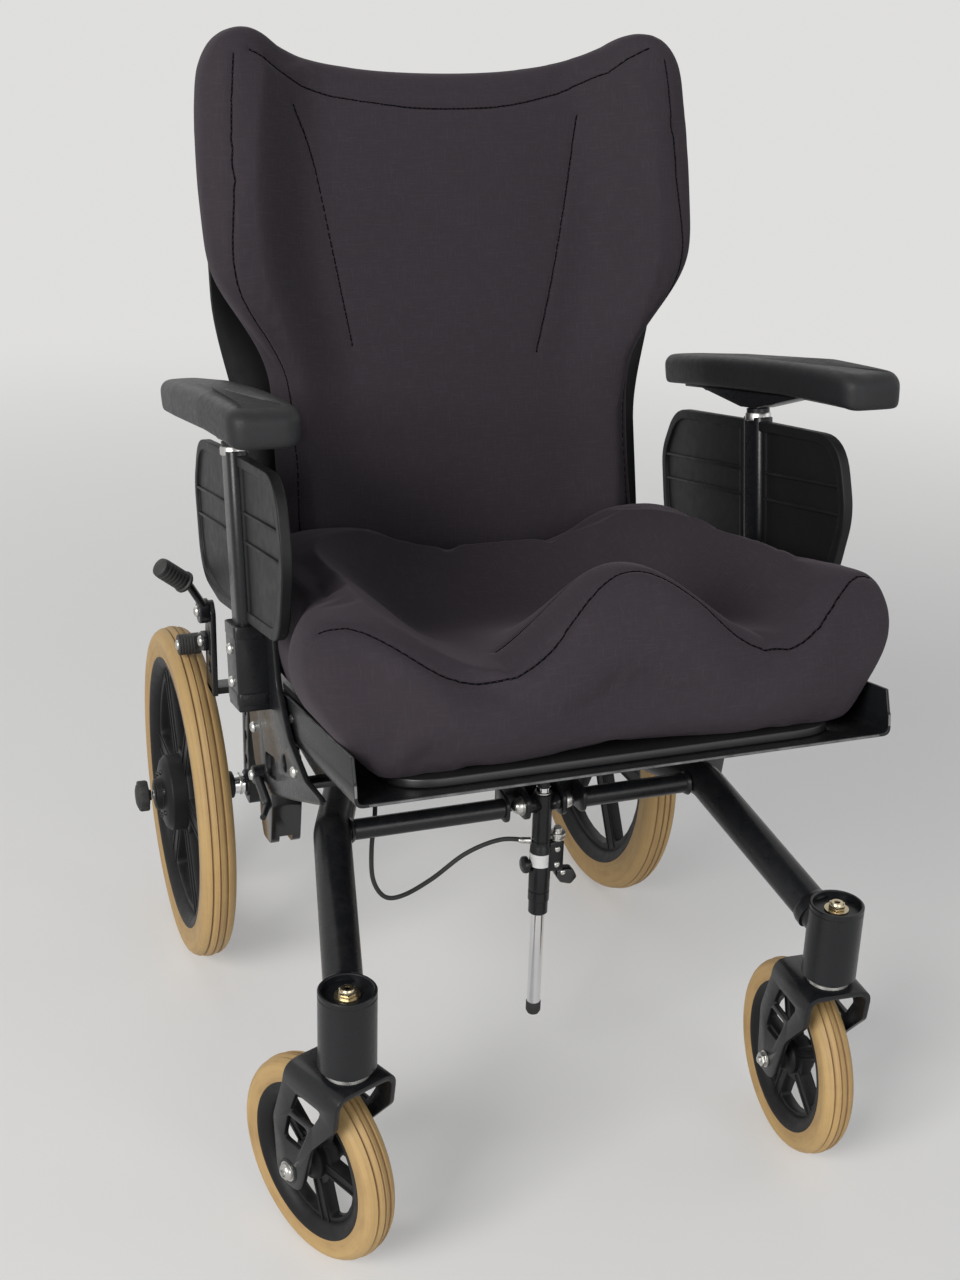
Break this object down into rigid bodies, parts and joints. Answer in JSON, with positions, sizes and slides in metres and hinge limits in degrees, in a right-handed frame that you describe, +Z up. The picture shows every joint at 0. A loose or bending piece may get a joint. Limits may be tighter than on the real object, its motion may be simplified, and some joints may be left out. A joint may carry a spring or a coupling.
{
  "type": "positioning wheelchair",
  "caption": "Manual positioning wheelchair: tilt-in-space base, swivel casters, winged back, contoured cushion, height-adjustable armrests and wheel locks.",
  "frame": {"origin": "On the floor under the middle of the chair's bounding box.", "axes": "+Z up. The occupant faces -Y. +X is the occupant's left, on the right of the picture."},
  "size_m": [0.6676, 0.876, 1.0719],
  "materials": {
    "black_steel": "satin black powder coat",
    "black_plastic": "fine-grained black moulding",
    "tan_tyre": "solid tan tyre, grooved tread",
    "zinc": "zinc plated fasteners",
    "chrome": "bright plated",
    "charcoal_fabric": "woven charcoal upholstery",
    "black_rubber": "black rubber",
    "moulded_pad": "self-skinned foam",
    "board": "black laminate"
  },
  "bodies": {
    "base": {"side_frame_left": "black_steel", "side_frame_right": "black_steel", "axle_bar_left": "black_steel", "axle_bar_right": "black_steel", "quick_release_axle_left": "chrome", "quick_release_axle_right": "chrome", "tilt_pivot_pin_left": "zinc", "tilt_pivot_pin_right": "zinc", "front_cross_member": "black_steel", "rear_cross_tube": "black_steel", "release_cable": "black_rubber", "lock_bracket_left": "black_steel", "lock_bracket_right": "black_steel"},
    "caster_fork_body_left": {"caster_stem_left": "zinc", "caster_fork_left": "black_steel"},
    "caster_wheel_left": {"caster_tyre_left": "tan_tyre", "caster_rim_left": "black_plastic", "caster_axle_bolt_left": "zinc"},
    "rear_wheel_left": {"rear_tyre_left": "tan_tyre", "rear_rim_left": "black_plastic"},
    "release_knob_left": {"axle_release_knob_left": "black_rubber"},
    "lock_lever_body_left": {"lock_lever_left": "black_steel"},
    "lock_shoe_body_left": {"lock_shoe_left": "black_steel"},
    "armrest_left": {"armrest_height_tube_left": "black_steel", "armrest_pad_left": "moulded_pad"},
    "receiver_lever_body_left": {"receiver_lever_left": "black_steel"},
    "caster_fork_body_right": {"caster_stem_right": "zinc", "caster_fork_right": "black_steel"},
    "caster_wheel_right": {"caster_tyre_right": "tan_tyre", "caster_rim_right": "black_plastic", "caster_axle_bolt_right": "zinc"},
    "rear_wheel_right": {"rear_tyre_right": "tan_tyre", "rear_rim_right": "black_plastic"},
    "release_knob_right": {"axle_release_knob_right": "black_rubber"},
    "lock_lever_body_right": {"lock_lever_right": "black_steel"},
    "lock_shoe_body_right": {"lock_shoe_right": "black_steel"},
    "armrest_right": {"armrest_height_tube_right": "black_steel", "armrest_pad_right": "moulded_pad"},
    "receiver_lever_body_right": {"receiver_lever_right": "black_steel"},
    "strut_housing_body": {"strut_housing": "black_steel"},
    "strut_lever_body": {"strut_lever": "black_plastic"},
    "strut_rod_body": {"strut_rod": "chrome", "strut_rod_end": "black_steel"},
    "seat": {"seat_frame": "black_steel", "seat_pan": "black_steel", "cushion_board": "board", "seat_cushion": "charcoal_fabric", "side_cheek_left": "black_steel", "side_cheek_right": "black_steel", "armrest_post_left": "black_plastic", "armrest_post_right": "black_plastic", "legrest_receiver_left": "black_plastic", "legrest_receiver_right": "black_plastic", "back_hinge_bar": "black_steel"},
    "back": {"back_cushion": "charcoal_fabric", "back_shell": "black_plastic", "push_handle_frame": "black_steel", "push_grip_left": "black_rubber", "push_grip_right": "black_rubber"},
    "hand_lever": {"tilt_release_lever": "black_steel"}
  },
  "joints": [
    {"name": "caster_swivel_left", "type": "hinge", "parent": "base", "child": "caster_fork_body_left", "pos_m": [-0.245, -0.38202, 0.25], "axis": [0, 0, 1], "continuous": true},
    {"name": "caster_roll_left", "type": "hinge", "parent": "caster_fork_body_left", "child": "caster_wheel_left", "pos_m": [-0.26184, -0.34137, 0.1], "axis": [0.9239, 0.3827, 0], "continuous": true},
    {"name": "rear_wheel_roll_left", "type": "hinge", "parent": "base", "child": "rear_wheel_left", "pos_m": [-0.272, 0.23798, 0.2], "axis": [1, 0, 0], "continuous": true},
    {"name": "axle_release_left", "type": "slide", "parent": "base", "child": "release_knob_left", "axis": [-1, 0, 0], "range_m": [0, 0.004], "stiffness_N_per_m": 500, "springref_m": -0.002},
    {"name": "wheel_lock_left", "type": "hinge", "parent": "base", "child": "lock_lever_body_left", "pos_m": [-0.262, 0.11798, 0.476], "axis": [1, 0, 0], "range_deg": [0, 30]},
    {"name": "lock_shoe_left", "type": "hinge", "parent": "base", "child": "lock_shoe_body_left", "pos_m": [-0.262, 0.12998, 0.436], "axis": [-1, 0, 0], "range_deg": [0, 4]},
    {"name": "armrest_height_left", "type": "slide", "parent": "seat", "child": "armrest_left", "axis": [0, 0.1736, 0.9848], "range_m": [-0.004, 0.07]},
    {"name": "receiver_release_left", "type": "hinge", "parent": "seat", "child": "receiver_lever_body_left", "pos_m": [-0.2588, -0.12077, 0.39083], "axis": [-1, 0, 0], "range_deg": [0, 15], "stiffness_Nm_per_rad": 0.3, "springref_deg": -17.19},
    {"name": "caster_swivel_right", "type": "hinge", "parent": "base", "child": "caster_fork_body_right", "pos_m": [0.245, -0.38202, 0.25], "axis": [0, 0, 1], "continuous": true},
    {"name": "caster_roll_right", "type": "hinge", "parent": "caster_fork_body_right", "child": "caster_wheel_right", "pos_m": [0.24769, -0.3381, 0.1], "axis": [0.9981, -0.061, 0], "continuous": true},
    {"name": "rear_wheel_roll_right", "type": "hinge", "parent": "base", "child": "rear_wheel_right", "pos_m": [0.272, 0.23798, 0.2], "axis": [1, 0, 0], "continuous": true},
    {"name": "axle_release_right", "type": "slide", "parent": "base", "child": "release_knob_right", "axis": [1, 0, 0], "range_m": [0, 0.004], "stiffness_N_per_m": 500, "springref_m": -0.002},
    {"name": "wheel_lock_right", "type": "hinge", "parent": "base", "child": "lock_lever_body_right", "pos_m": [0.262, 0.11798, 0.476], "axis": [1, 0, 0], "range_deg": [0, 30]},
    {"name": "lock_shoe_right", "type": "hinge", "parent": "base", "child": "lock_shoe_body_right", "pos_m": [0.262, 0.12998, 0.436], "axis": [-1, 0, 0], "range_deg": [0, 4]},
    {"name": "armrest_height_right", "type": "slide", "parent": "seat", "child": "armrest_right", "axis": [0, 0.1736, 0.9848], "range_m": [-0.004, 0.07]},
    {"name": "receiver_release_right", "type": "hinge", "parent": "seat", "child": "receiver_lever_body_right", "pos_m": [0.2588, -0.12077, 0.39083], "axis": [-1, 0, 0], "range_deg": [0, 15], "stiffness_Nm_per_rad": 0.3, "springref_deg": -17.19},
    {"name": "seat_tilt", "type": "hinge", "parent": "base", "child": "seat", "pos_m": [0, 0.04961, 0.40465], "axis": [-1, 0, 0], "range_deg": [-10, 20]},
    {"name": "strut_trunnion", "type": "hinge", "parent": "base", "child": "strut_housing_body", "pos_m": [0.021, -0.17202, 0.3425], "axis": [-1, 0, 0], "range_deg": [-4, 8]},
    {"name": "strut_extension", "type": "slide", "parent": "strut_housing_body", "child": "strut_rod_body", "axis": [0, 0, 1], "range_m": [-0.04, 0.078]},
    {"name": "strut_release", "type": "hinge", "parent": "strut_housing_body", "child": "strut_lever_body", "pos_m": [0.0447, -0.17202, 0.2605], "axis": [0, -1, 0], "range_deg": [0, 12]},
    {"name": "back_recline", "type": "hinge", "parent": "seat", "child": "back", "pos_m": [0, 0.04582, 0.44878], "axis": [-1, 0, 0], "range_deg": [0, 25]},
    {"name": "tilt_release_handle", "type": "hinge", "parent": "back", "child": "hand_lever", "pos_m": [0.172, 0.21126, 0.91299], "axis": [1, 0, 0], "range_deg": [0, 10], "stiffness_Nm_per_rad": 0.5, "springref_deg": -11.46}
  ],
  "couplings": [
    {"joint": "strut_trunnion", "follows": "seat_tilt", "ratio": 0.34},
    {"joint": "strut_extension", "follows": "seat_tilt", "m_per_rad": 0.2206},
    {"joint": "strut_release", "follows": "tilt_release_handle", "ratio": 1.2},
    {"joint": "lock_shoe_left", "follows": "wheel_lock_left", "ratio": 0.13333},
    {"joint": "lock_shoe_right", "follows": "wheel_lock_right", "ratio": 0.13333}
  ]
}
